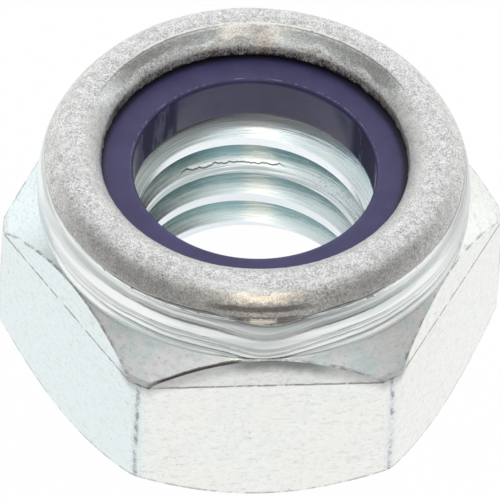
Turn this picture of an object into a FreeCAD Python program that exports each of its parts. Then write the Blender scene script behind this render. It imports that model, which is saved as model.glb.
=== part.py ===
import FreeCAD, Part
import math
import os

# Nylon insert lock nut, metric coarse thread, collar rolled in over a moulded locking ring.
# The origin is the centre of the bearing face, +Z runs up through the collar,
# and one flat of the hexagon faces -Y. Lengths in millimetres, angles in degrees.

# Thread
THREAD_DIAMETER = 10.0
THREAD_PITCH = 1.5
THREAD_FLANK_ANGLE = 30.0
THREAD_START_HEIGHT = 0.15
THREAD_CREST_ARCS = 6
COUNTERSINK_OVER_THREAD = 0.45
COUNTERSINK_ANGLE = 45.0

# Hexagon, its flats a wall's width outside the thread
NUT_HEIGHT = 10.0
HEXAGON_WALL = 3.0
CORNER_ROUNDING = 0.5
BEARING_FACE_INSET = 0.15
BEARING_CHAMFER_ANGLE = 43.0
COLLAR_HEIGHT = 4.09
SHOULDER_ANGLE = 41.0
SHOULDER_ROUNDING = 0.5
CORNER_RELIEF = 0.13
TAPER_OVER_SHOULDER = 0.09
FLAT_TAPER = 10.0

# Collar, inside the flats so that a socket passes, and rolled in over the ring
COLLAR_INSET = 0.21
COLLAR_WALL = 1.15
ROLL_HEIGHT = 1.9
ROLL_WIDTH = 1.31
ROLL_LEAN = 40.0
CREST_WIDTH = 0.38
LIP_OVERLAP = 1.14
LIP_THICKNESS = 0.5
LIP_UNDERCUT = 0.45

# Locking ring and its seat
RING_DEPTH = 1.2
RING_THICKNESS = 1.88
RING_BITE = 0.63
RING_HOLE_CHAMFER = 0.15
RING_CORNER_CHAMFER = 0.4
LEAD_IN_DEPTH = 0.77
LEAD_IN_ANGLE = 30.0

# Values that follow from the ones above
MAJOR_RADIUS = THREAD_DIAMETER / 2
THREAD_DEPTH = 0.54127 * THREAD_PITCH
MINOR_RADIUS = MAJOR_RADIUS - THREAD_DEPTH
CORE_RADIUS = MINOR_RADIUS - THREAD_PITCH / 4
FLAT_RADIUS = MAJOR_RADIUS + HEXAGON_WALL
CORNER_RADIUS = FLAT_RADIUS / math.cos(math.radians(30))
CORNER_TIP = CORNER_RADIUS - CORNER_ROUNDING * (1 / math.cos(math.radians(30)) - 1)
BLANK_RADIUS = CORNER_RADIUS + 0.2
SHOULDER_HEIGHT = NUT_HEIGHT - COLLAR_HEIGHT
FLAT_HEIGHT = SHOULDER_HEIGHT + TAPER_OVER_SHOULDER
COLLAR_RADIUS = FLAT_RADIUS - COLLAR_INSET
CREST_RADIUS = COLLAR_RADIUS - ROLL_WIDTH
RING_RADIUS = COLLAR_RADIUS - COLLAR_WALL
RING_TOP = NUT_HEIGHT - RING_DEPTH
SEAT_HEIGHT = RING_TOP - RING_THICKNESS
RING_HOLE_RADIUS = MAJOR_RADIUS - RING_BITE
LIP_RADIUS = RING_RADIUS - LIP_OVERLAP
THREADED_HEIGHT = SEAT_HEIGHT - LEAD_IN_DEPTH
UP = FreeCAD.Vector(0, 0, 1)
CENTRE = FreeCAD.Vector(0, 0, 0)


def slope(angle):
    return math.tan(math.radians(angle))


def at(r, z):
    return FreeCAD.Vector(r, 0, z)


def around(centre, radius, angle):
    turn = math.radians(angle)
    return at(centre.x + radius * math.cos(turn), centre.z + radius * math.sin(turn))


def bearing_of(vector):
    # Direction in the half section, 0 outward and 90 up.
    return math.degrees(math.atan2(vector.z, vector.x)) % 360


def line(start, end):
    return Part.LineSegment(start, end).toShape()


def arc(centre, radius, start, end):
    middle = around(centre, radius, (start + end) / 2)
    return Part.Arc(around(centre, radius, start), middle, around(centre, radius, end)).toShape()


def first_point(piece):
    return piece.valueAt(piece.FirstParameter) if hasattr(piece, "Edges") else piece


def last_point(piece):
    return piece.valueAt(piece.LastParameter) if hasattr(piece, "Edges") else piece


def turned(pieces):
    # Straight lines fill the spaces between the arcs and points given in order.
    edges = []
    for piece, following in zip(pieces, pieces[1:] + pieces[:1]):
        if hasattr(piece, "Edges"):
            edges.append(piece)
        if last_point(piece).distanceToPoint(first_point(following)) > 1e-6:
            edges.append(line(last_point(piece), first_point(following)))
    return Part.Face(Part.Wire(edges)).revolve(CENTRE, UP, 360)


def shoulder_arc():
    # Rounds the top of each corner where the side runs into the shoulder cone.
    radius = SHOULDER_ROUNDING
    cone = around(CENTRE, radius, 90 - SHOULDER_ANGLE)
    centre_r = CORNER_TIP - CORNER_RELIEF - radius
    centre_z = SHOULDER_HEIGHT - cone.z + (CORNER_TIP - centre_r - cone.x) * slope(SHOULDER_ANGLE)
    return arc(at(centre_r, centre_z), radius, 0, 90 - SHOULDER_ANGLE)


def roll_radii():
    # A large arc leans the collar in and a tight one closes it over the crest.
    lean = math.radians(ROLL_LEAN)
    across = 1 - math.cos(lean)
    up = math.sin(lean)
    tight = (ROLL_WIDTH * up - ROLL_HEIGHT * across) / (math.cos(lean) * up - (1 - up) * across)
    large = (ROLL_WIDTH - tight * math.cos(lean)) / across
    return large, tight


def neck_foot():
    # The straight wall of the collar rises from the shoulder cone.
    cone_top = last_point(shoulder_arc())
    return at(COLLAR_RADIUS, cone_top.z + (cone_top.x - COLLAR_RADIUS) * slope(SHOULDER_ANGLE))


def roll_arcs():
    large, tight = roll_radii()
    crest = at(CREST_RADIUS, NUT_HEIGHT - tight)
    belly = around(crest, large - tight, ROLL_LEAN + 180)
    return [arc(belly, large, 0, ROLL_LEAN), arc(crest, tight, ROLL_LEAN, 90)]


def crease_and_lip():
    # A burnished slope falls from a crisp crease to the rounded lip; the lip is cut away
    # beneath its edge and presses on the ring further out.
    radius = LIP_THICKNESS / 2
    lip = at(LIP_RADIUS + radius, RING_TOP + radius)
    crease = at(CREST_RADIUS - CREST_WIDTH, NUT_HEIGHT)
    between = crease - lip
    facing = bearing_of(between) + math.degrees(math.acos(radius / between.Length))
    return [crease, arc(lip, radius, facing, 150), at(LIP_RADIUS + LIP_UNDERCUT, RING_TOP)]


def seat_corner():
    # Upper corner of the groove; the ring carries the same corner.
    return [
        at(RING_RADIUS - RING_CORNER_CHAMFER, RING_TOP),
        at(RING_RADIUS, RING_TOP - RING_CORNER_CHAMFER),
        at(RING_RADIUS, SEAT_HEIGHT),
    ]


def turned_blank():
    # Full section of the steel before the hexagon and the thread.
    bearing_radius = FLAT_RADIUS - BEARING_FACE_INSET
    chamfer_run = BLANK_RADIUS - bearing_radius
    countersink = MAJOR_RADIUS + COUNTERSINK_OVER_THREAD
    countersink_top = (countersink - CORE_RADIUS) * slope(COUNTERSINK_ANGLE)
    lead_in_run = LEAD_IN_DEPTH / slope(LEAD_IN_ANGLE)
    lead_in_foot = THREADED_HEIGHT - (MINOR_RADIUS - CORE_RADIUS) * slope(LEAD_IN_ANGLE)
    outside = [
        at(CORE_RADIUS, countersink_top),
        at(countersink, 0),
        at(bearing_radius, 0),
        at(BLANK_RADIUS, chamfer_run * slope(BEARING_CHAMFER_ANGLE)),
        at(BLANK_RADIUS, FLAT_HEIGHT / 3),
        at(CORNER_TIP, FLAT_HEIGHT / 2),
        shoulder_arc(),
        neck_foot(),
    ]
    inside = [
        at(MINOR_RADIUS + lead_in_run, SEAT_HEIGHT),
        at(CORE_RADIUS, lead_in_foot),
    ]
    return turned(outside + roll_arcs() + crease_and_lip() + seat_corner() + inside)


def hexagon_outline():
    # Six sides joined by rounded corners, one side facing -Y.
    corners = []
    for k in range(6):
        centre = at(CORNER_RADIUS - CORNER_ROUNDING / math.cos(math.radians(30)), 0)
        points = []
        for turn in (-30, 0, 30):
            reach = FreeCAD.Vector(CORNER_ROUNDING, 0, 0)
            points.append(centre + FreeCAD.Rotation(UP, turn).multVec(reach))
        corner = Part.Arc(*points).toShape()
        corner.rotate(CENTRE, UP, 60 * k)
        corners.append(corner)
    edges = []
    for corner, following in zip(corners, corners[1:] + corners[:1]):
        edges.append(corner)
        edges.append(line(last_point(corner), first_point(following)))
    return Part.Wire(edges)


def flat_tapers(top):
    # Wedges that lean each flat in a little above the flat height.
    inset = (top - FLAT_HEIGHT) * slope(FLAT_TAPER)
    corners = [at(FLAT_RADIUS, FLAT_HEIGHT), at(FLAT_RADIUS + inset, top), at(FLAT_RADIUS - inset, top)]
    profile = Part.Face(Part.makePolygon(corners + corners[:1]))
    wedges = []
    for k in range(6):
        wedge = profile.extrude(FreeCAD.Vector(0, 2 * FLAT_RADIUS, 0))
        wedge.translate(FreeCAD.Vector(0, -FLAT_RADIUS, 0))
        wedge.rotate(CENTRE, UP, 60 * k + 30)
        wedges.append(wedge)
    return wedges


def hexagon():
    # Everything the finished steel may fill: the hexagon, and above it room for the collar.
    neck = neck_foot().z
    prism = Part.Face(hexagon_outline()).extrude(at(0, neck))
    collar_room = Part.makeCylinder(BLANK_RADIUS, NUT_HEIGHT, at(0, neck))
    return prism.cut(flat_tapers(neck)).fuse(collar_room)


def thread_bore():
    # The bore at the thread crests.
    return Part.makeCylinder(MINOR_RADIUS, THREADED_HEIGHT + 3 * THREAD_PITCH, at(0, -THREAD_PITCH))


def crest_marks():
    # Upright sheets inside the bore whose edges divide the helical crest into equal arcs.
    low = -THREAD_PITCH
    high = THREADED_HEIGHT + THREAD_PITCH
    sheets = []
    for k in range(THREAD_CREST_ARCS):
        corners = [at(CORE_RADIUS, low), at(MINOR_RADIUS, low), at(MINOR_RADIUS, high), at(CORE_RADIUS, high)]
        sheet = Part.Face(Part.makePolygon(corners + corners[:1]))
        sheet.rotate(CENTRE, UP, (k + 0.5) * 360 / THREAD_CREST_ARCS)
        sheets.append(sheet)
    return sheets


def thread_turn(k):
    # One whole turn of the right-hand groove, flat at its root.
    inner = CORE_RADIUS + THREAD_PITCH / 8
    root_half = THREAD_PITCH / 16
    mouth_half = root_half + (MAJOR_RADIUS - inner) * slope(THREAD_FLANK_ANGLE)
    foot = THREAD_START_HEIGHT + k * THREAD_PITCH
    path = Part.Wire(Part.makeHelix(THREAD_PITCH, THREAD_PITCH, MAJOR_RADIUS).Edges)
    path.translate(at(0, foot))
    corners = [
        at(inner, foot - mouth_half),
        at(MAJOR_RADIUS, foot - root_half),
        at(MAJOR_RADIUS, foot + root_half),
        at(inner, foot + mouth_half),
    ]
    sweep = Part.BRepOffsetAPI.MakePipeShell(path)
    sweep.setFrenetMode(True)
    sweep.add(Part.makePolygon(corners + corners[:1]))
    sweep.build()
    sweep.makeSolid()
    return sweep.shape().Solids[0]


def thread_groove():
    # Enough turns to run out past both ends of the bore.
    turns = math.ceil(THREADED_HEIGHT / THREAD_PITCH) + 1
    return [thread_turn(k) for k in range(-1, turns)]


def nut_body():
    blank = turned_blank().common(hexagon()).Solids[0]
    bored = blank.cut(thread_bore())
    threaded = bored.cut(thread_groove(), 1e-5)
    divided, parts = threaded.generalFuse(crest_marks())
    return divided.Solids[0]


def nylon_insert():
    # Ring of square section; its floor, wall and upper corner lie against the groove.
    chamfer = RING_HOLE_CHAMFER
    hole = [
        at(RING_HOLE_RADIUS + chamfer, RING_TOP),
        at(RING_HOLE_RADIUS, RING_TOP - chamfer),
        at(RING_HOLE_RADIUS, SEAT_HEIGHT + chamfer),
        at(RING_HOLE_RADIUS + chamfer, SEAT_HEIGHT),
    ]
    return turned(hole + seat_corner()[::-1])


def save(shape, name):
    shape.exportStep(os.path.join("parts", name + ".step"))


os.makedirs("parts", exist_ok=True)
save(nut_body(), "nut_body")
save(nylon_insert(), "nylon_insert")
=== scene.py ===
import math
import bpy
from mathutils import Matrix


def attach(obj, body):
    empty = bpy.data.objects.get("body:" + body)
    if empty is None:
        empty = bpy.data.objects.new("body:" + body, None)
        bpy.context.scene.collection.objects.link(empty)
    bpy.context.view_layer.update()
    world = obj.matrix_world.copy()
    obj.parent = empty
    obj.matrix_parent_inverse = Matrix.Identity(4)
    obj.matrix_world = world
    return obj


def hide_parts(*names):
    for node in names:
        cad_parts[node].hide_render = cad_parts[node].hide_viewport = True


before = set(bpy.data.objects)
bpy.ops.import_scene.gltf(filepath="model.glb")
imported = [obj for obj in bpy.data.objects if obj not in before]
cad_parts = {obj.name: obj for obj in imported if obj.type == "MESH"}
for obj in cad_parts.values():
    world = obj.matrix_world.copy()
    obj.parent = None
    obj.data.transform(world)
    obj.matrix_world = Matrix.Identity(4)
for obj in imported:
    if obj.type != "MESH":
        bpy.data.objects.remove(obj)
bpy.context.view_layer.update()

from types import SimpleNamespace as Marks

import bpy
from mathutils import Matrix, Vector

# Nylon insert lock nut seen from above on a pale floor.
# The making is done in millimetres; each finished piece is brought to metres at its end.
MM = 0.001

# Turned form of the steel, radii and heights above the bearing face
CORE = 3.81
COUNTERSINK = 5.45
BEARING_FACE = 7.85
BLANK = 9.44
BLANK_FOOT = 1.48
CORNER_TIP = 9.16
SHOULDER_EDGE = 9.03
SHOULDER_HEIGHT = 5.795
SHOULDER_ROUNDING = 0.5
SHOULDER_SLOPE = math.tan(math.radians(41))
NECK = 7.79
NECK_FOOT = 7.101
NECK_TOP = 8.1
NECK_BEND = 2.4155
NECK_STEP = 0.015
FOOT_GROOVE = 0.03
NUT_HEIGHT = 10.0

# Roll of the collar, down to its pressed lip
ROLL_MIDDLE = 6.48
OUTER_ROLL_RADIUS = 0.9724
ROLL_RADIUS = 0.975
ROLL_CENTRE = 9.025
FACET_REACH = 0.884
LIP = 5.505
LIP_EDGE = 9.0
LIP_END = 5.95

# Seat of the ring, lead-in of the thread, and the ring itself
GROOVE_MOUTH = 6.24
GROOVE_SHOULDER = 8.4
LEAD_IN = 5.52
LEAD_IN_FOOT = 5.933
RING_OUTER = 6.64
RING_TOP = 8.8
RING_FLOOR = 6.92
RING_HOLE = 4.37
RING_ROUNDING = 0.17
RING_HOLLOW = 0.012

# Hexagon
FLAT = 8.0
FLAT_HEIGHT = 6.0
FLAT_LEAN = math.tan(math.radians(10))
CORNER_ROUNDING = 0.5
CHAMFER_SLOPE = 0.9325

# Thread
PITCH = 1.5
FLANK = math.tan(math.radians(30))
THREAD_ROOT = 5.0
THREAD_CREST = 4.188
THREAD_START = 0.15
ROOT_CORNER = 0.05
ROOT_CORNER_RUN = 0.029

# Fineness of the meshes
ROUND_STEPS = 640
THREAD_STEPS = 240
RING_STEPS = 320


def deselect():
    if bpy.context.object and bpy.context.object.mode != "OBJECT":
        bpy.ops.object.mode_set(mode="OBJECT")
    bpy.ops.object.select_all(action="DESELECT")


def take(piece):
    deselect()
    piece.select_set(True)
    bpy.context.view_layer.objects.active = piece


def open_up(piece, kind="FACE"):
    # Sets what is picked, with nothing picked yet.
    take(piece)
    bpy.ops.object.mode_set(mode="EDIT")
    bpy.ops.mesh.select_mode(type=kind)
    bpy.ops.mesh.select_all(action="DESELECT")
    bpy.ops.object.mode_set(mode="OBJECT")


def pick(elements, wanted):
    # Selects the edges or faces that the test names, then goes to edit mode.
    for element in elements:
        element.select = bool(wanted(element))
    bpy.ops.object.mode_set(mode="EDIT")


def finish_modifiers(piece):
    take(piece)
    for modifier in list(piece.modifiers):
        bpy.ops.object.modifier_apply(modifier=modifier.name)


def bend_points(centre, radius, start, end, count):
    points = []
    for k in range(count + 1):
        turn = math.radians(start + (end - start) * k / count)
        points.append((centre[0] + radius * math.cos(turn), centre[1] + radius * math.sin(turn)))
    return points


def straight(start, end, count):
    points = []
    for k in range(count + 1):
        share = k / count
        points.append((start[0] + (end[0] - start[0]) * share, start[1] + (end[1] - start[1]) * share))
    return points


def chain(*runs):
    # Joins runs of points, leaving out a point that repeats the one before it.
    points = []
    for run in runs:
        for point in run:
            if not points or math.dist(points[-1], point) > 1e-5:
                points.append(point)
    return points


def draw_section(name, points):
    # One corner of a small plane is kept and extruded from point to point.
    deselect()
    bpy.ops.mesh.primitive_plane_add(size=0.1, location=(points[0][0], 0, points[0][1]))
    piece = bpy.context.object
    piece.name = name
    bpy.ops.object.transform_apply(location=True, rotation=True, scale=True)
    bpy.ops.object.mode_set(mode="EDIT")
    bpy.ops.mesh.select_mode(type="VERT")
    bpy.ops.mesh.select_all(action="SELECT")
    bpy.ops.mesh.merge(type="CENTER")
    for before, after in zip(points, points[1:]):
        move = (after[0] - before[0], 0, after[1] - before[1])
        bpy.ops.mesh.extrude_vertices_move(TRANSFORM_OT_translate={"value": move})
    bpy.ops.object.mode_set(mode="OBJECT")
    return piece


def turn_section(name, points, steps):
    # Spins a closed section about the axis of the nut.
    piece = draw_section(name, points + points[:1])
    open_up(piece, "VERT")
    bpy.ops.object.mode_set(mode="EDIT")
    bpy.ops.mesh.select_all(action="SELECT")
    bpy.ops.mesh.remove_doubles(threshold=1e-4)
    bpy.ops.mesh.spin(steps=steps, angle=2 * math.pi, center=(0, 0, 0), axis=(0, 0, 1))
    bpy.ops.mesh.select_all(action="SELECT")
    bpy.ops.mesh.remove_doubles(threshold=1e-4)
    bpy.ops.mesh.normals_make_consistent(inside=False)
    bpy.ops.object.mode_set(mode="OBJECT")
    return piece


def smooth(piece, angle):
    take(piece)
    bpy.ops.object.shade_smooth_by_angle(angle=math.radians(angle))


def to_metres(piece):
    take(piece)
    piece.scale = (MM, MM, MM)
    bpy.ops.object.transform_apply(location=True, rotation=True, scale=True)


def cut_with(piece, tool, operation):
    take(piece)
    modifier = piece.modifiers.new("cut", "BOOLEAN")
    modifier.operation = operation
    modifier.solver = "EXACT"
    modifier.object = tool
    bpy.ops.object.modifier_apply(modifier=modifier.name)
    bpy.data.objects.remove(tool)


def neck_and_roll():
    # Smooth neck with a fine groove at its foot, a faint step where the grain of the roll
    # begins, and the outer side of the roll.
    groove_bottom = NECK - FOOT_GROOVE
    foot = [
        (NECK, NECK_FOOT),
        (groove_bottom, NECK_FOOT + FOOT_GROOVE),
        (groove_bottom, 7.17),
        (NECK - 0.005, 7.22),
    ]
    wall = straight((NECK, 7.3), (NECK, NECK_TOP), 5)
    bend = (NECK - NECK_BEND, NECK_TOP)
    smooth_part = bend_points(bend, NECK_BEND, 3, 21, 7)
    step = bend_points(bend, NECK_BEND - NECK_STEP, 21.3, 22.2, 2)
    grained_part = bend_points(bend, NECK_BEND, 22.6, 40, 10)
    over = bend_points((ROLL_MIDDLE, NUT_HEIGHT - OUTER_ROLL_RADIUS), OUTER_ROLL_RADIUS, 40, 90, 14)
    return chain(foot, wall, smooth_part, step, grained_part, over)


def crest_and_lip():
    # The roll goes on over its crest and down to the pressed lip.
    over = bend_points((ROLL_MIDDLE, ROLL_CENTRE), ROLL_RADIUS, 90, 180, 32)
    lip = [(LIP + 0.01, LIP_EDGE - 0.03), (LIP + 0.05, LIP_EDGE - 0.09)]
    under = straight((LIP + 0.1, LIP_EDGE - 0.11), (LIP_END, RING_TOP), 3)
    return chain(over, lip, under)


def steel_section():
    chamfer = [(COUNTERSINK, 0), (BEARING_FACE, 0), (BLANK, BLANK_FOOT)]
    corner = [(BLANK, 2.0), (CORNER_TIP, 3.0), (SHOULDER_EDGE, SHOULDER_HEIGHT)]
    shoulder_centre = (SHOULDER_EDGE - SHOULDER_ROUNDING, SHOULDER_HEIGHT)
    shoulder = bend_points(shoulder_centre, SHOULDER_ROUNDING, 0, 49, 5)
    cone = straight((8.858, 6.172), (NECK, NECK_FOOT), 5)
    groove = [(GROOVE_MOUTH, RING_TOP), (RING_OUTER, GROOVE_SHOULDER), (RING_OUTER, RING_FLOOR)]
    bore = [(LEAD_IN, RING_FLOOR), (CORE, LEAD_IN_FOOT), (CORE, COUNTERSINK - CORE)]
    return chain(chamfer, corner, shoulder, cone, neck_and_roll(), crest_and_lip(), groove, bore)


def hexagon_tool():
    # A six-sided bar with rounded corners; its sides lean in near the top, and a wide head
    # above leaves the collar whole.
    deselect()
    half_height = (FLAT_HEIGHT + 1) / 2
    bpy.ops.mesh.primitive_cylinder_add(
        vertices=6,
        radius=FLAT / math.cos(math.radians(30)),
        depth=2 * half_height,
        location=(0, 0, half_height - 1),
        rotation=(0, 0, math.radians(30)),
    )
    tool = bpy.context.object
    tool.name = "hexagon_bar"
    bpy.ops.object.transform_apply(location=True, rotation=True, scale=True)
    open_up(tool, "EDGE")
    ends = tool.data.vertices
    pick(tool.data.edges, lambda edge: abs(ends[edge.vertices[0]].co.z - ends[edge.vertices[1]].co.z) > 1)
    bpy.ops.mesh.bevel(offset=CORNER_ROUNDING * math.tan(math.radians(30)), segments=5)
    open_up(tool, "FACE")
    pick(tool.data.polygons, lambda face: face.normal.z > 0.9)
    rise = NECK_FOOT - FLAT_HEIGHT
    narrow = (FLAT - rise * FLAT_LEAN) / FLAT
    head = 1.5
    head_height = 4
    bpy.ops.mesh.extrude_region_move(TRANSFORM_OT_translate={"value": (0, 0, rise)})
    bpy.ops.transform.resize(value=(narrow, narrow, 1))
    bpy.ops.mesh.extrude_region_move(TRANSFORM_OT_translate={"value": (0, 0, 0)})
    bpy.ops.transform.resize(value=(head, head, 1))
    bpy.ops.mesh.extrude_region_move(TRANSFORM_OT_translate={"value": (0, 0, head_height)})
    bpy.ops.object.mode_set(mode="OBJECT")
    return tool


def thread_section():
    # The outline of a tap along the axis; each groove has flanks at thirty degrees.
    half_root = PITCH / 16
    half_mouth = half_root + (THREAD_ROOT - THREAD_CREST) * FLANK
    corner = THREAD_ROOT - ROOT_CORNER
    half_corner = half_root + ROOT_CORNER_RUN
    easing = 0.01
    near_root = THREAD_ROOT - easing
    points = [(0, THREAD_START - 2.5 * PITCH)]
    for k in range(-2, 7):
        foot = THREAD_START + k * PITCH
        low = straight((THREAD_CREST, foot - PITCH / 2), (THREAD_CREST, foot - half_mouth), 3)
        rise = straight((THREAD_CREST, foot - half_mouth), (corner, foot - half_corner), 8)
        root = [
            (near_root, foot - half_root + easing),
            (THREAD_ROOT, foot),
            (near_root, foot + half_root - easing),
        ]
        fall = straight((corner, foot + half_corner), (THREAD_CREST, foot + half_mouth), 8)
        high = straight((THREAD_CREST, foot + half_mouth), (THREAD_CREST, foot + PITCH / 2), 3)
        points = chain(points, low, rise, root, fall, high)
    return chain(points, [(0, THREAD_START + 6.5 * PITCH)])


def tap():
    tool = draw_section("tap", thread_section())
    screw = tool.modifiers.new("turns", "SCREW")
    screw.axis = "Z"
    screw.angle = 2 * math.pi
    screw.screw_offset = PITCH
    screw.steps = THREAD_STEPS
    screw.render_steps = THREAD_STEPS
    screw.use_merge_vertices = False
    finish_modifiers(tool)
    open_up(tool, "VERT")
    bpy.ops.object.mode_set(mode="EDIT")
    bpy.ops.mesh.select_all(action="SELECT")
    bpy.ops.mesh.remove_doubles(threshold=1e-4)
    bpy.ops.mesh.select_all(action="DESELECT")
    bpy.ops.mesh.select_non_manifold()
    bpy.ops.mesh.fill_holes(sides=0)
    bpy.ops.mesh.select_all(action="SELECT")
    bpy.ops.mesh.normals_make_consistent(inside=False)
    bpy.ops.object.mode_set(mode="OBJECT")
    return tool


def front_angle(point):
    # Angle round the axis in degrees, 0 at the front and growing to the right.
    return math.degrees(math.atan2(point.x, -point.y))


def passage(value, low, high):
    # 0 below the first value, 1 above the second, with a soft passage.
    share = min(max((value - low) / (high - low), 0), 1)
    return share * share * (3 - 2 * share)


def mark(piece, name, weigh):
    # A vertex group whose weights come from each point's place.
    group = piece.vertex_groups.new(name=name)
    for vertex in piece.data.vertices:
        weight = weigh(vertex.co, math.hypot(vertex.co.x, vertex.co.y))
        if weight > 0.001:
            group.add([vertex.index], weight, "REPLACE")
    return name


def press(piece, group, depth, grain_size=None, level=0.5):
    # Moves the marked surface along its normals, evenly or by a cloudy grain.
    modifier = piece.modifiers.new(group, "DISPLACE")
    modifier.vertex_group = group
    modifier.strength = depth
    modifier.mid_level = 0
    if grain_size:
        texture = bpy.data.textures.new(group, "CLOUDS")
        texture.noise_scale = grain_size
        texture.noise_depth = 3
        modifier.texture = texture
        modifier.texture_coords = "LOCAL"
        modifier.mid_level = level


def pressed_facet(point, away):
    # How far the roll stands above the facets that the closing tool left at the back.
    behind = abs(front_angle(point))
    if behind < 100 or away > ROLL_MIDDLE or away < LIP - 0.1 or point.z < LIP_EDGE:
        return 0
    bulge = ROLL_RADIUS - FACET_REACH
    middle = math.radians(135)
    outward = (away - ROLL_MIDDLE) * math.cos(middle) + (point.z - ROLL_CENTRE) * math.sin(middle)
    return min(max(outward - FACET_REACH, 0) / bulge, 1) * passage(behind, 100, 130)


def grained(point, away):
    # The whole roll is grained, less so on the facets and where the tool slid at the front.
    if away < LIP - 0.1 or point.z < 9.02:
        return 0
    behind = passage(abs(front_angle(point)), 110, 125)
    worn = passage(point.z, 9.4, 9.5) * passage(away, 6.15, 6.05)
    front = passage(abs(front_angle(point) + 3), 12, 6) * passage(point.z, 9.85, 9.7)
    return 1 - behind * 0.8 * worn - front * 0.8


def ragged_lip(point, away):
    return math.exp(-(math.dist((away, point.z), (LIP, LIP_EDGE)) / 0.14) ** 2) if away < 6.2 else 0


def steel_body():
    # The grain is pressed inwards, so the crest stays at the height of the nut.
    body = turn_section("steel_body", steel_section(), ROUND_STEPS)
    cut_with(body, hexagon_tool(), "INTERSECT")
    cut_with(body, tap(), "DIFFERENCE")
    press(body, mark(body, "pressed_facet", pressed_facet), FACET_REACH - ROLL_RADIUS)
    press(body, mark(body, "grain", grained), 0.03, 0.16, 0.8)
    press(body, mark(body, "ragged_lip", ragged_lip), 0.13, 0.18)
    finish_modifiers(body)
    smooth(body, 30)
    return body


def locking_ring():
    hole = RING_HOLE
    hollow_top = RING_TOP - RING_HOLLOW
    inner = chain(
        [(hole + 0.16, RING_FLOOR), (hole + 0.05, RING_FLOOR + 0.03), (hole, RING_FLOOR + 0.12)],
        straight((hole, RING_FLOOR + 0.2), (hole, RING_TOP - 0.24), 6),
        bend_points((hole + RING_ROUNDING, RING_TOP - RING_ROUNDING), RING_ROUNDING, 180, 90, 6),
    )
    top = chain(
        [(hole + 0.3, RING_TOP - 0.004), (hole + 0.5, hollow_top)],
        straight((hole + 0.7, hollow_top), (5.7, RING_TOP - 0.004), 5),
        [(LIP_END, RING_TOP), (GROOVE_MOUTH, RING_TOP)],
        [(RING_OUTER, GROOVE_SHOULDER), (RING_OUTER, RING_FLOOR)],
    )
    ring = turn_section("locking_ring", chain(inner, top), RING_STEPS)
    smooth(ring, 40)
    return ring


class Nodes:
    # A node tree under construction: every call adds one step and gives back its output.
    def __init__(self, tree):
        self.nodes = tree.nodes
        self.links = tree.links

    def feed(self, value, socket):
        if hasattr(value, "is_output"):
            self.links.new(value, socket)
        else:
            socket.default_value = value

    def parts(self, vector):
        node = self.nodes.new("ShaderNodeSeparateXYZ")
        self.links.new(vector, node.inputs[0])
        return node.outputs

    def math(self, operation, *values):
        node = self.nodes.new("ShaderNodeMath")
        node.operation = operation
        for value, socket in zip(values, node.inputs):
            self.feed(value, socket)
        return node.outputs[0]

    def times(self, *values):
        result = values[0]
        for value in values[1:]:
            result = self.math("MULTIPLY", result, value)
        return result

    def add(self, *values):
        result = values[0]
        for value in values[1:]:
            result = self.math("ADD", result, value)
        return result

    def less(self, first, second):
        return self.math("SUBTRACT", first, second)

    def either(self, first, second):
        return self.math("MAXIMUM", first, second)

    def invert(self, value):
        return self.less(1.0, value)

    def size(self, value):
        return self.math("ABSOLUTE", value)

    def fade(self, value, low, high):
        # 0 below the first value, 1 above the second, with a soft passage.
        node = self.nodes.new("ShaderNodeMapRange")
        node.interpolation_type = "SMOOTHSTEP"
        self.feed(value, node.inputs["Value"])
        flipped = low > high
        node.inputs["From Min"].default_value = min(low, high)
        node.inputs["From Max"].default_value = max(low, high)
        node.inputs["To Min"].default_value = 1.0 if flipped else 0.0
        node.inputs["To Max"].default_value = 0.0 if flipped else 1.0
        return node.outputs["Result"]

    def hump(self, value, centre, half, soft):
        # 1 within half of the centre, fading to 0 over the soft width.
        return self.fade(self.size(self.less(value, centre)), half + soft, half)

    def tint(self, share, first, second):
        # Mixes two colours, which the node takes at its sockets 6 and 7 and gives at 2.
        node = self.nodes.new("ShaderNodeMix")
        node.data_type = "RGBA"
        self.feed(share, node.inputs["Factor"])
        for value, index in ((first, 6), (second, 7)):
            if isinstance(value, tuple):
                node.inputs[index].default_value = (*value, 1)
            else:
                self.links.new(value, node.inputs[index])
        return node.outputs[2]

    def blend(self, share, first, second):
        # Mixes two numbers, which the node takes at its sockets 2 and 3.
        node = self.nodes.new("ShaderNodeMix")
        self.feed(share, node.inputs["Factor"])
        self.feed(first, node.inputs[2])
        self.feed(second, node.inputs[3])
        return node.outputs[0]


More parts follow.
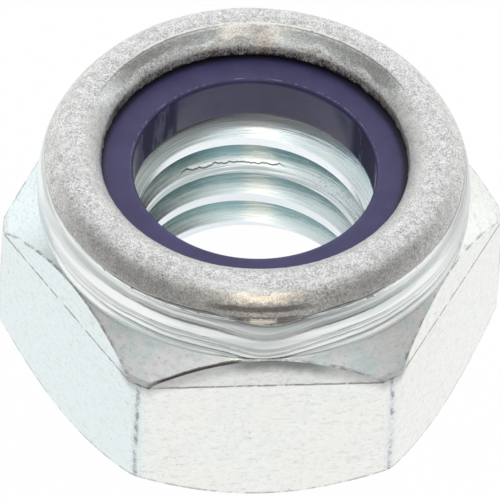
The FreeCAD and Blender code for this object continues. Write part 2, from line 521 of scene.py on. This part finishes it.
class Finish(Nodes):
    # A material for a turned piece. It knows each place on the piece in millimetres, the
    # distance from the axis, and the angle round it in radians, which is 0 at the front
    # and grows to the right. In the functions below, f is the finish that they work on.
    def __init__(self, name):
        self.material = bpy.data.materials.new(name)
        self.material.use_nodes = True
        super().__init__(self.material.node_tree)
        self.shader = self.nodes["Principled BSDF"]
        coordinates = self.nodes.new("ShaderNodeTexCoord")
        scale = self.nodes.new("ShaderNodeVectorMath")
        scale.operation = "SCALE"
        scale.inputs["Scale"].default_value = 1 / MM
        self.links.new(coordinates.outputs["Object"], scale.inputs[0])
        self.where = scale.outputs[0]
        self.x, self.y, self.z = self.parts(self.where)
        self.away = self.math("SQRT", self.add(self.times(self.x, self.x), self.times(self.y, self.y)))
        self.angle = self.math("ARCTAN2", self.x, self.times(self.y, -1.0))

    def vector(self, x, y, z):
        node = self.nodes.new("ShaderNodeCombineXYZ")
        for value, socket in zip((x, y, z), node.inputs):
            self.feed(value, socket)
        return node.outputs[0]

    def noise(self, where, scale, detail=3.0, roughness=0.5):
        node = self.nodes.new("ShaderNodeTexNoise")
        self.feed(where, node.inputs["Vector"])
        node.inputs["Scale"].default_value = scale
        node.inputs["Detail"].default_value = detail
        node.inputs["Roughness"].default_value = roughness
        return node.outputs["Fac"]

    def drawn_round(self, along, across, detail=3.0, roughness=0.6, depth=0.0):
        # Streaks that run round the axis and close on themselves.
        lift = self.add(self.times(self.z, across), self.times(self.away, depth))
        where = self.vector(
            self.times(self.math("DIVIDE", self.x, self.away), along),
            self.times(self.math("DIVIDE", self.y, self.away), along),
            lift,
        )
        return self.noise(where, 1.0, detail, roughness)

    def spots(self, scale):
        node = self.nodes.new("ShaderNodeTexVoronoi")
        self.links.new(self.where, node.inputs["Vector"])
        node.inputs["Scale"].default_value = scale
        return node.outputs["Distance"]

    def wear(self, colour, gloss):
        self.links.new(colour, self.shader.inputs["Base Color"])
        self.links.new(gloss, self.shader.inputs["Roughness"])

    def relief(self, height, distance):
        node = self.nodes.new("ShaderNodeBump")
        node.inputs["Distance"].default_value = distance * MM
        self.links.new(height, node.inputs["Height"])
        self.links.new(node.outputs[0], self.shader.inputs["Normal"])


def steel_grains(f):
    # Clouds, clumps and grain that the marks of the steel share, broad ones first.
    f.cloudy = f.noise(f.where, 0.7, 3.0, 0.6)
    f.patchy = f.noise(f.where, 1.3, 4.0, 0.6)
    f.broken = f.noise(f.where, 2.2, 5.0, 0.7)
    f.clumps = f.noise(f.where, 3.2, 3.0, 0.6)
    f.fine = f.noise(f.where, 13.0, 4.0, 0.75)
    finest = f.noise(f.where, 20.0, 2.0, 0.6)
    f.grain = f.add(f.times(f.fine, 0.5), f.times(finest, 0.3), f.times(f.clumps, 0.2))
    f.turning = f.drawn_round(1.3, 9.0, 4.0, 0.65, 9.0)
    f.turned_away = f.size(f.angle)
    f.square = f.times(f.angle, f.angle)
    f.centre = f.math("POWER", 2.718, f.times(f.square, -34.0))
    f.behind = f.fade(f.turned_away, 1.8, 2.2)


def roll_marks(f):
    # Matt grain from a soft edge on the neck up to the lip
    wander = f.times(f.drawn_round(2.0, 0.0), 0.3)
    dip = f.add(f.times(f.centre, 0.36), f.times(f.broken, 0.08))
    edge = f.add(f.z, wander, dip, f.fade(f.away, 6.7, 6.5), -9.35)
    grained = f.times(f.fade(edge, -0.03, 0.03), f.fade(f.away, 5.2, 5.3), f.fade(f.z, 8.6, 8.7))
    inner = f.times(grained, f.fade(f.away, 6.25, 5.95))
    back = f.fade(f.y, 2.0, 3.0)
    roll = Marks(grained=grained, inner=inner)
    roll.edge_line = f.times(f.hump(edge, -0.02, 0.01, 0.06), f.fade(f.turned_away, 2.3, 0.2), 0.8)

    # Facets rubbed by the closing tool at the back, under a crease with a broken painted highlight along it
    roll.burnished = f.times(
        f.hump(f.turned_away, 2.5, 0.4, 0.22),
        f.fade(f.add(f.z, f.times(f.patchy, 0.5)), 9.66, 9.86),
        f.fade(f.away, 6.16, 6.1),
    )
    # Painted highlight along the crease
    roll.crease = f.times(
        f.hump(f.add(f.away, f.times(f.clumps, 0.06)), 6.19, 0.03, 0.04),
        f.fade(f.broken, 0.36, 0.5),
        f.fade(f.z, 9.75, 9.8),
        f.fade(f.turned_away, 2.3, 2.5),
        f.behind,
    )
    # Painted highlight in a ragged patch at the back of the crest
    roll.back_patch = f.times(
        back,
        f.hump(f.add(f.x, f.times(f.broken, 0.9)), 0.1, 0.3, 0.5),
        f.fade(f.add(f.z, f.times(f.clumps, 0.3)), 9.68, 9.8),
        f.fade(f.away, 6.2, 6.12),
    )
    roll.bronze = f.times(
        inner,
        back,
        f.hump(f.add(f.x, f.times(f.broken, 0.8)), 1.0, 0.12, 0.4),
        f.fade(f.z, 9.0, 9.15),
        f.fade(f.add(f.z, f.times(f.patchy, 0.3)), 9.95, 9.7),
    )

    # Dirt that thickens towards the lip, black specks with painted shadow at the lip and under it, and the
    # brown edge of the lip at the sides
    grime_height = f.less(f.add(f.z, f.times(f.patchy, 0.5)), f.times(f.behind, 0.24))
    roll.grime = f.times(inner, f.fade(grime_height, 9.42, 9.18))
    # Black specks on the lip edge and painted shadow under the lip
    soot_height = f.less(f.add(f.z, f.times(f.broken, 0.6)), f.times(f.behind, 0.08))
    roll.soot = f.times(inner, f.fade(soot_height, 9.30, 9.18))
    roll.lip_line = f.times(
        inner,
        f.fade(f.add(f.away, f.times(f.broken, 0.08)), 5.62, 5.57),
        f.fade(f.turned_away, 0.9, 1.2),
        f.fade(f.turned_away, 2.35, 2.0),
    )
    return roll


def slide_marks(f):
    # Painted light and shade on the front of the roll: two warm painted highlights, a streak of painted
    # dark reflection between them, and painted shade round the lower one.
    near = f.fade(f.y, -6.2, -6.6)
    uneven = f.times(f.add(f.clumps, -0.5), 0.3)
    lifted = f.add(f.z, uneven)
    low_place = f.hump(f.add(f.angle, f.times(uneven, 0.3)), -0.03, 0.03, 0.06)
    # Two warm painted highlights, one low and one high on the front
    low_spot = f.times(near, low_place, f.hump(lifted, 8.96, 0.05, 0.09))
    high_spot = f.times(near, f.hump(f.angle, -0.02, 0.04, 0.24), f.hump(lifted, 9.68, 0.05, 0.13), 0.75)
    # A streak of painted dark reflection across the front
    streak_height = f.hump(f.add(f.z, f.times(f.broken, 0.1)), 9.42, 0.05, 0.08)
    streak = f.times(near, f.hump(f.angle, -0.05, 0.14, 0.16), streak_height)
    shade_place = f.times(f.hump(f.angle, -0.035, 0.15, 0.08), f.hump(f.z, 8.98, 0.09, 0.09))
    shade = f.times(near, shade_place, f.invert(low_spot))
    return Marks(
        near=near,
        low_spot=low_spot,
        shine=f.either(low_spot, high_spot),
        streak=f.either(streak, shade),
    )


def inside_flats(f):
    # Distance inside the nearest flat, zero on the flats themselves.
    half_x = f.times(f.x, math.cos(math.radians(30)))
    half_y = f.times(f.y, math.sin(math.radians(30)))
    slanted = f.either(f.size(f.add(half_x, half_y)), f.size(f.less(half_x, half_y)))
    reach = f.either(f.size(f.y), slanted)
    lean = f.times(f.either(f.add(f.z, -FLAT_HEIGHT), 0.0), FLAT_LEAN)
    return f.less(f.less(FLAT, lean), reach)


def hexagon_marks(f):
    side = f.times(f.fade(f.away, 7.7, 7.8), f.fade(f.z, 7.2, 7.05))
    inside = inside_flats(f)
    cone_height = f.less(NECK_FOOT + NECK * SHOULDER_SLOPE, f.times(f.away, SHOULDER_SLOPE))
    below_arc = f.less(cone_height, f.z)
    sloped = f.times(side, f.fade(below_arc, 0.09, 0.05), f.fade(inside, 0.004, 0.012))
    flat = f.less(side, sloped)
    hexagon = Marks(side=side, sloped=sloped, flat=flat)

    # Lines along the arcs where the cone meets the flats, deep at the front left
    arc_edge = f.fade(f.add(inside, f.times(f.clumps, 0.1)), 0.14, 0.06)
    hexagon.arc_line = f.times(sloped, arc_edge, f.fade(f.broken, 0.4, 0.6))
    front_left = f.times(f.fade(f.y, -6.0, -6.2), f.hump(f.x, -2.45, 1.2, 0.9))
    deep_edge = f.fade(f.add(inside, f.times(f.broken, 0.08)), 0.145, 0.085)
    hexagon.deep_line = f.times(sloped, front_left, deep_edge)

    # Smear under the front arc, and broken lines along the fold and the foot of the flats
    smear = f.fade(f.add(below_arc, f.times(f.broken, 0.3)), 0.75, 0.2)
    smear = f.times(flat, f.fade(f.y, -6.8, -7.3), smear)
    hexagon.smear = f.times(smear, f.blend(f.hump(f.x, 0.5, 0.9, 1.4), 0.5, 1.0))
    fold_height = f.hump(f.add(f.z, f.times(f.clumps, 0.08)), FLAT_HEIGHT + 0.04, 0.02, 0.04)
    fold = f.times(flat, fold_height, f.fade(f.broken, 0.36, 0.5))
    over_chamfer = f.less(f.z, f.times(f.add(f.away, -BEARING_FACE), CHAMFER_SLOPE))
    edge = f.times(f.fade(over_chamfer, 0.13, 0.05), f.fade(over_chamfer, 0.005, 0.02))
    foot = f.times(flat, edge, f.fade(f.broken, 0.42, 0.54), 0.7)
    hexagon.edges = f.either(fold, foot)

    # Distance along the surface from the nearest corner
    turn = f.math("MODULO", f.add(f.angle, 4 * math.pi), math.pi / 3)
    beside = f.add(turn, f.times(f.clumps, 0.02), -math.pi / 6 - 0.01)
    beside = f.times(f.size(beside), CORNER_TIP)
    hexagon.corner = f.times(flat, f.fade(beside, 0.12, 0.03))
    hexagon.corner_band = f.times(flat, f.fade(beside, 0.3, 0.08))
    return hexagon


def flow_lines(f, grained):
    # Dark lines on the neck, dipping at the front: painted dark reflections, with a little relief of their
    # own.
    jitter = f.times(f.add(f.drawn_round(6.0, 1.5), -0.5), 0.16)
    level = f.add(f.z, jitter, f.times(f.centre, 0.45), f.times(f.square, -0.12))
    ends = f.fade(f.turned_away, 1.5, 0.5)
    flow = f.times(f.hump(level, 8.7, 0.04, 0.14), f.blend(ends, 0.2, 1.0))
    flow = f.either(flow, f.times(f.hump(level, 8.74, 0.1, 0.14), f.centre, 0.85))
    flow = f.either(flow, f.times(f.hump(level, 8.05, 0.03, 0.11), ends, 0.8))
    flow = f.either(flow, f.times(f.hump(level, 7.82, 0.015, 0.07), ends, 0.8))
    flow = f.either(flow, f.times(f.hump(level, 7.5, 0.03, 0.09), f.blend(ends, 0.4, 1.0)))
    heights = f.times(f.fade(f.z, 7.05, 7.15), f.invert(grained))
    on_neck = f.times(f.fade(f.away, 7.45, 7.55), f.fade(f.away, 7.85, 7.82), heights)
    return f.times(flow, on_neck, f.blend(f.broken, 0.6, 1.1))


def bore_marks(f):
    in_bore = f.times(f.fade(f.away, 5.5, 5.3), f.fade(f.z, 7.2, 7.0))
    far = f.times(in_bore, f.fade(f.y, 0.5, 1.5))
    bore = Marks(in_bore=in_bore)
    # Painted shade towards the roots of the grooves
    bore.deep = f.times(f.fade(f.away, 4.35, 4.98), f.fade(f.z, 6.4, 6.0))
    bore.crest = f.times(f.fade(f.away, 4.24, 4.2), f.fade(f.z, 6.2, 6.1))
    bore.lead_in = f.times(in_bore, f.fade(f.z, 6.12, 6.2))
    # Painted highlight on the far wall, its edges broken by the turning marks
    bore.window = f.times(far, f.hump(f.add(f.x, f.times(f.turning, 2.4)), 1.75, 0.25, 0.5))

    # A crack that the tap tore along one flank, with a painted highlight along its upper edge, and pits on
    # the crest to its right
    ragged = f.noise(f.vector(f.times(f.x, 1.1), 0.0, 0.0), 1.0, 4.0, 0.6)
    tear = f.add(f.z, f.times(f.x, 0.057), f.times(ragged, -0.36), -4.36)
    torn = f.times(far, f.hump(f.x, -0.45, 1.6, 0.5), f.fade(f.away, 4.5, 4.4))
    bore.burr = f.times(torn, f.hump(tear, 0.0, 0.002, 0.013))
    bore.burr_edge = f.times(torn, f.hump(tear, 0.05, 0.015, 0.04))
    bore.pits = f.times(far, f.fade(f.x, 2.3, 2.7), f.hump(f.z, 4.3, 0.12, 0.1), f.fade(f.fine, 0.56, 0.64))
    return bore


def clean_colour(f, coning):
    # Bright plating on the flats, brushed on the neck, clouded blue on the front of the cone, with a
    # painted bluish highlight on the left.
    clean = f.tint(f.fade(f.clumps, 0.4, 0.62), (0.85, 0.87, 0.85), (0.90, 0.91, 0.87))
    clean = f.tint(f.times(f.fade(f.cloudy, 0.4, 0.65), 0.6), clean, (0.89, 0.89, 0.85))
    # Painted bluish highlight on the left side
    clean = f.tint(f.times(f.fade(f.x, -3.6, -5.2), 0.8), clean, (0.78, 0.88, 0.90))
    brushed = f.drawn_round(2.0, 2.6, 3.0, 0.55)
    neck = f.tint(f.fade(brushed, 0.36, 0.62), (0.66, 0.72, 0.71), (0.90, 0.92, 0.91))
    neck = f.tint(f.hump(f.angle, 1.4, 0.15, 0.4), neck, (0.60, 0.62, 0.61))
    neck = f.tint(f.times(f.centre, 0.5), neck, (0.48, 0.51, 0.50))
    clean = f.tint(f.fade(f.z, 7.1, 7.2), clean, neck)
    clouds = f.add(f.times(f.patchy, 0.6), f.times(f.cloudy, 0.4))
    cone = f.tint(f.fade(clouds, 0.42, 0.56), (0.86, 0.96, 0.97), (1.0, 1.0, 1.0))
    return f.tint(coning, clean, cone)


def grained_colour(f, roll, slide):
    # Salt and pepper grain of the roll, with a painted highlight high on the front and painted dark
    # reflections low on both sides of the front.
    rough = f.tint(f.fade(f.grain, 0.38, 0.60), (0.37, 0.37, 0.36), (1.0, 0.99, 0.98))
    rough = f.tint(f.times(f.fade(f.patchy, 0.45, 0.65), 0.3), rough, (0.66, 0.65, 0.64))
    pale = f.tint(f.fade(f.grain, 0.43, 0.55), (0.68, 0.67, 0.65), (1.0, 1.0, 0.98))
    rough = f.tint(f.times(roll.inner, f.invert(f.behind), 0.8), rough, pale)
    drawn = f.fade(f.drawn_round(3.5, 7.0, 3.0, 0.6, 7.0), 0.4, 0.6)
    # Painted highlight in pale drawn streaks high on the front
    rough = f.tint(f.times(slide.near, f.fade(f.z, 9.6, 9.8), drawn, 0.5), rough, (1.0, 1.0, 0.99))
    # Painted dark reflections low on both sides of the front
    outer = f.times(f.fade(f.away, 6.5, 6.9), f.fade(f.z, 9.95, 9.6))
    rough = f.tint(f.times(outer, f.hump(f.angle, -0.75, 0.3, 0.35), 0.45), rough, (0.40, 0.40, 0.39))
    rough = f.tint(f.times(outer, f.hump(f.angle, 0.85, 0.3, 0.3), 0.3), rough, (0.42, 0.42, 0.41))
    # Painted dark reflection and shade on the front, then the warm painted highlights
    rough = f.tint(f.times(slide.streak, 0.75), rough, (0.16, 0.14, 0.12))
    return f.tint(f.times(slide.shine, 0.9), rough, (1.0, 0.93, 0.80))


def thread_colour(f, bore):
    # Pale blue-green plating, darker to the left, with a painted highlight on the far wall.
    colour = f.tint(f.fade(f.turning, 0.3, 0.7), (0.70, 0.82, 0.82), (0.92, 0.96, 0.95))
    left = f.tint(f.fade(f.turning, 0.35, 0.65), (0.34, 0.41, 0.37), (0.62, 0.68, 0.64))
    colour = f.tint(f.fade(f.x, -0.6, -2.4), colour, left)
    # Painted shade in the roots of the grooves
    colour = f.tint(f.times(bore.deep, 0.5), colour, (0.48, 0.76, 0.84))
    # Painted highlight on the far wall
    colour = f.tint(bore.window, colour, (1.0, 1.0, 0.95))
    bright_crest = f.times(bore.crest, f.blend(f.fade(f.turning, 0.4, 0.55), 0.85, 1.0))
    colour = f.tint(bright_crest, colour, (0.93, 0.97, 1.0))
    # Painted shade on the second crest
    second_crest = f.times(bore.crest, f.hump(f.z, 4.25, 0.3, 0.1), f.fade(f.turning, 0.36, 0.5))
    colour = f.tint(f.times(second_crest, 0.8), colour, (0.42, 0.47, 0.47))
    # Painted shade lower down the bore
    colour = f.tint(f.times(f.fade(f.z, 4.55, 4.35), 0.2), colour, (0.42, 0.51, 0.52))
    cut = f.tint(f.fade(f.turning, 0.38, 0.62), (0.62, 0.74, 0.75), (1.0, 1.0, 0.97))
    colour = f.tint(f.times(bore.lead_in, 0.6), colour, cut)
    # Painted shadow just under the ring
    below_ring = f.fade(f.add(f.z, f.times(f.broken, 0.08)), 6.44, 6.5)
    colour = f.tint(f.times(below_ring, 0.8), colour, (0.20, 0.33, 0.32))
    # Painted highlight along the crack
    colour = f.tint(bore.burr_edge, colour, (1.0, 1.0, 0.97))
    return f.tint(f.times(f.either(bore.burr, bore.pits), 0.75), colour, (0.12, 0.13, 0.13))


def worn_roll(f, colour, roll):
    # Burnishing, dirt, painted highlights along the crease and at the back, and the edges of the roll, laid
    # over the two main finishes.
    buffed = f.tint(f.fade(f.grain, 0.4, 0.6), (0.60, 0.63, 0.62), (0.92, 0.94, 0.93))
    dirty = f.tint(f.fade(f.grain, 0.43, 0.57), (0.09, 0.08, 0.07), (0.74, 0.71, 0.65))
    bronzed = f.tint(f.fade(f.grain, 0.4, 0.6), (0.36, 0.27, 0.20), (0.95, 0.84, 0.70))
    sooty = f.tint(f.fade(f.grain, 0.4, 0.62), (0.008, 0.006, 0.006), (0.16, 0.10, 0.06))
    browned = f.tint(f.fade(f.clumps, 0.42, 0.6), (0.045, 0.032, 0.024), (0.26, 0.17, 0.10))
    colour = f.tint(roll.edge_line, colour, (0.24, 0.23, 0.21))
    colour = f.tint(roll.burnished, colour, buffed)
    # Painted highlights along the crease and in the patch at the back
    colour = f.tint(f.either(roll.crease, roll.back_patch), colour, (1.0, 0.98, 0.93))
    colour = f.tint(roll.grime, colour, dirty)
    colour = f.tint(f.times(roll.bronze, 0.5), colour, bronzed)
    # Black specks and painted shadow at the lip
    colour = f.tint(roll.soot, colour, sooty)
    return f.tint(f.times(roll.lip_line, 0.65), colour, browned)


def worn_hexagon(f, colour, hexagon):
    # Flecks and scratches on the flats, then the lines along their edges.
    side = hexagon.side
    small = f.fade(f.noise(f.where, 6.0, 5.0, 0.75), 0.52, 0.64)
    colour = f.tint(f.times(small, side, 0.4), colour, (0.60, 0.60, 0.57))
    scratched = f.vector(f.times(f.x, 2.2), f.times(f.y, 2.2), f.times(f.z, 7.0))
    scuffs = f.fade(f.noise(scratched, 1.0, 4.0, 0.7), 0.54, 0.66)
    colour = f.tint(f.times(scuffs, side, 0.42), colour, (0.62, 0.62, 0.59))
    specks = f.times(f.fade(f.spots(2.6), 0.16, 0.05), f.fade(f.noise(f.where, 0.9), 0.42, 0.6))
    colour = f.tint(f.times(specks, side, 0.45), colour, (0.36, 0.35, 0.33))
    bluish = f.times(hexagon.corner_band, f.fade(f.fine, 0.44, 0.56), 0.55)
    colour = f.tint(bluish, colour, (0.58, 0.64, 0.74))
    gaps = f.fade(f.add(f.times(f.grain, 0.6), f.times(f.broken, 0.4)), 0.53, 0.45)
    colour = f.tint(f.times(hexagon.corner, gaps, 0.8), colour, (0.22, 0.23, 0.22))
    colour = f.tint(f.times(hexagon.smear, 0.9), colour, (0.17, 0.18, 0.18))
    return f.tint(f.times(hexagon.edges, 0.75), colour, (0.20, 0.20, 0.19))


def plated_steel():
    f = Finish("plated_steel")
    steel_grains(f)
    roll = roll_marks(f)
    slide = slide_marks(f)
    hexagon = hexagon_marks(f)
    flow = flow_lines(f, roll.grained)
    bore = bore_marks(f)
    coning = f.times(hexagon.sloped, f.fade(f.y, -3.0, -5.0))

    colour = f.tint(roll.grained, clean_colour(f, coning), grained_colour(f, roll, slide))
    colour = worn_roll(f, colour, roll)
    colour = f.tint(bore.in_bore, colour, thread_colour(f, bore))
    colour = worn_hexagon(f, colour, hexagon)
    # Painted dark reflections along the neck lines
    colour = f.tint(f.times(flow, f.blend(f.centre, 0.62, 0.8)), colour, (0.27, 0.28, 0.27))
    colour = f.tint(f.times(hexagon.arc_line, 0.6), colour, (0.16, 0.15, 0.14))
    colour = f.tint(f.times(hexagon.deep_line, 0.95), colour, (0.055, 0.035, 0.035))

    # Bare bright metal, duller where the coating is thick or torn
    metal = f.blend(roll.inner, 1.0, f.blend(roll.burnished, f.blend(f.behind, 0.05, 0.4), 0.9))
    metal = f.blend(roll.crease, metal, 0.9)
    metal = f.blend(slide.low_spot, metal, 0.35)
    metal = f.blend(roll.back_patch, metal, 0.85)
    metal = f.blend(coning, metal, 0.5)
    metal = f.blend(f.times(bore.lead_in, 0.8), metal, 0.55)
    f.links.new(metal, f.shader.inputs["Metallic"])

    gloss = f.blend(roll.grained, f.blend(hexagon.side, 0.14, 0.22), f.blend(f.fine, 0.22, 0.4))
    gloss = f.blend(roll.burnished, gloss, 0.22)
    gloss = f.blend(f.times(f.either(slide.shine, roll.back_patch), 0.9), gloss, 0.15)
    gloss = f.blend(bore.in_bore, gloss, f.blend(f.turning, 0.12, 0.32))
    gloss = f.blend(bore.lead_in, gloss, 0.42)
    f.wear(colour, gloss)

    dull = f.times(roll.grained, f.invert(f.times(f.either(roll.burnished, slide.shine), 0.8)))
    height = f.add(
        f.times(f.grain, dull, 0.8),
        f.times(f.turning, bore.in_bore, 0.25),
        f.times(f.broken, hexagon.side, 0.14),
        f.times(f.grain, hexagon.corner, 0.4),
        f.times(flow, -0.4),
        f.times(f.drawn_round(1.0, 3.0), 0.12),
        f.times(hexagon.arc_line, -0.2),
        f.times(hexagon.deep_line, -0.5),
        f.times(bore.burr, -0.3),
    )
    f.relief(height, 0.05)
    return f.material


def purple_nylon():
    f = Finish("purple_nylon")
    cloudy = f.noise(f.where, 0.8, 3.0, 0.6)
    broken = f.noise(f.where, 2.4, 4.0, 0.65)
    streaks = f.drawn_round(1.5, 3.0, 4.0, 0.6, 6.0)
    draw_lines = f.drawn_round(11.0, 0.3)
    wall = f.fade(f.away, RING_HOLE + 0.034, RING_HOLE + 0.008)

    # Painted shadow on the ring under the lip, speckled to the right
    fringe = f.times(f.hump(f.angle, 1.75, 0.4, 0.5), f.noise(f.where, 10.0, 3.0, 0.7), 0.2)
    margin = f.add(f.away, f.times(broken, 0.1), f.times(f.fade(f.y, -1.0, 4.0), 0.02), fringe)
    margin = f.times(f.fade(margin, 5.36, 5.6), f.invert(wall))

    # Broken painted highlight round the far edge of the hole
    rim = f.times(f.hump(f.away, RING_HOLE + 0.1, 0.008, 0.022), f.fade(f.z, 8.6, 8.7))
    rim = f.times(rim, f.fade(broken, 0.45, 0.6), f.fade(f.y, -1.0, 2.0))

    # Painted dark reflections, broken into streaks, at both sides of the wall
    beside = f.hump(f.size(f.add(f.angle, 0.19)), 2.05, 0.2, 0.15)
    sides = f.times(wall, beside, f.fade(draw_lines, 0.42, 0.52))

    colour = f.tint(f.fade(cloudy, 0.35, 0.65), (0.048, 0.041, 0.138), (0.062, 0.054, 0.168))
    # Painted shadow under the lip
    colour = f.tint(margin, colour, (0.012, 0.011, 0.036))
    colour = f.tint(f.times(rim, 0.45), colour, (0.45, 0.38, 0.48))
    # Painted dark reflections at both sides of the wall
    colour = f.tint(f.times(sides, 0.75), colour, (0.014, 0.014, 0.060))
    gloss = f.blend(wall, f.blend(streaks, 0.30, 0.46), f.blend(streaks, 0.12, 0.22))
    gloss = f.blend(margin, gloss, 0.6)
    gloss = f.blend(sides, gloss, 0.7)
    f.wear(colour, gloss)
    f.shader.inputs["IOR"].default_value = 1.53
    height = f.add(
        f.times(streaks, 0.5),
        f.times(f.noise(f.where, 9.0, 3.0), 0.15),
        f.times(draw_lines, wall, 0.3),
    )
    f.relief(height, 0.015)
    return f.material


def place_camera():
    # Long lens from above the front, turned a little to the left and rolled a little.
    around = math.radians(5.215)
    above = math.radians(47.234)
    roll = math.radians(2.445)
    distance = 235.3
    off_right = 0.0512
    off_up = 0.1941
    middle = Vector((0, 0, 4.706))
    reach = math.cos(above)
    away = Vector((-reach * math.sin(around), -reach * math.cos(around), math.sin(above)))
    level = Vector((math.cos(around), -math.sin(around), 0))
    upright = away.cross(level)
    right = level * math.cos(roll) + upright * math.sin(roll)
    up = upright * math.cos(roll) - level * math.sin(roll)
    aim = middle - right * off_right - up * off_up
    camera = bpy.data.objects.new("camera", bpy.data.cameras.new("camera"))
    bpy.context.scene.collection.objects.link(camera)
    camera.data.lens = 466.0
    camera.data.sensor_width = 36
    camera.data.clip_start = 0.01
    camera.data.clip_end = 50
    turn = Matrix((right, up, away)).transposed().to_4x4()
    camera.matrix_world = Matrix.Translation((aim + away * distance) * MM) @ turn
    bpy.context.scene.camera = camera


def pale_floor_finish():
    # White to the camera and to mirrors, where it darkens in front of the nut, and pale
    # and matt to all other light.
    finish = bpy.data.materials.new("pale_floor")
    finish.use_nodes = True
    f = Nodes(finish.node_tree)
    f.nodes.clear()
    out = f.nodes.new("ShaderNodeOutputMaterial")
    mix = f.nodes.new("ShaderNodeMixShader")
    matt = f.nodes.new("ShaderNodeBsdfDiffuse")
    matt.inputs["Color"].default_value = (0.95, 0.95, 0.95, 1)
    glow = f.nodes.new("ShaderNodeEmission")
    path = f.nodes.new("ShaderNodeLightPath")
    place = f.parts(f.nodes.new("ShaderNodeTexCoord").outputs["Object"])
    front = f.nodes.new("ShaderNodeMapRange")
    front.inputs["From Min"].default_value = -0.05
    front.inputs["From Max"].default_value = -0.014
    front.inputs["To Min"].default_value = 0.3
    front.inputs["To Max"].default_value = 1.0
    f.links.new(place["Y"], front.inputs["Value"])
    strength = f.either(front.outputs["Result"], path.outputs["Is Camera Ray"])
    seen = f.either(path.outputs["Is Camera Ray"], path.outputs["Is Glossy Ray"])
    f.links.new(strength, glow.inputs["Strength"])
    f.links.new(f.times(seen, 0.985), mix.inputs["Fac"])
    f.links.new(matt.outputs[0], mix.inputs[1])
    f.links.new(glow.outputs[0], mix.inputs[2])
    f.links.new(mix.outputs[0], out.inputs["Surface"])
    return finish


def studio_floor():
    deselect()
    bpy.ops.mesh.primitive_plane_add(size=6, location=(0, 0, 0))
    floor = bpy.context.object
    floor.name = "floor"
    bpy.ops.object.mode_set(mode="EDIT")
    bpy.ops.mesh.subdivide(number_cuts=2)
    bpy.ops.object.mode_set(mode="OBJECT")
    floor.data.materials.append(pale_floor_finish())


def studio_light():
    # White all round, with the unlit side of the room low in front, a softbox overhead
    # and one warm lamp in front.
    world = bpy.data.worlds.new("studio")
    world.use_nodes = True
    bpy.context.scene.world = world
    f = Nodes(world.node_tree)
    x, y, z = f.parts(f.nodes.new("ShaderNodeTexCoord").outputs["Generated"])
    across = f.math("ARCTAN2", x, f.times(y, -1.0))
    rise = f.math("ARCSINE", z)
    aside = f.size(f.add(across, 0.12))
    unlit = f.times(f.fade(aside, 2.2, 1.5), f.fade(rise, 0.88, 0.62))
    ceiling = f.fade(rise, 0.5, 0.8)
    lamp = f.times(f.hump(across, -0.06, 0.13, 0.1), f.hump(rise, 0.62, 0.14, 0.12))
    softbox = f.times(f.hump(x, -0.02, 0.13, 0.1), f.hump(y, -0.27, 0.2, 0.1), f.fade(z, 0.0, 0.2))
    colour = f.tint(ceiling, (1.12, 1.14, 1.14), (0.84, 0.86, 0.87))
    colour = f.tint(unlit, colour, (0.25, 0.24, 0.23))
    colour = f.tint(softbox, colour, (1.4, 1.4, 1.36))
    colour = f.tint(lamp, colour, (1.9, 1.7, 1.42))
    path = f.nodes.new("ShaderNodeLightPath")
    colour = f.tint(path.outputs["Is Camera Ray"], colour, (1.0, 1.0, 1.0))
    background = f.nodes["Background"]
    f.links.new(colour, background.inputs["Color"])
    background.inputs["Strength"].default_value = 1.0


def hand_over(piece, node, finish):
    # The finished piece takes the place of its CAD node.
    piece.data.materials.append(finish)
    to_metres(piece)
    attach(piece, "root")
    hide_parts(node)


steel = steel_body()
ring = locking_ring()
hand_over(steel, "nut_body", plated_steel())
hand_over(ring, "nylon_insert", purple_nylon())
studio_floor()
studio_light()
place_camera()
bpy.context.scene.view_settings.view_transform = "Standard"
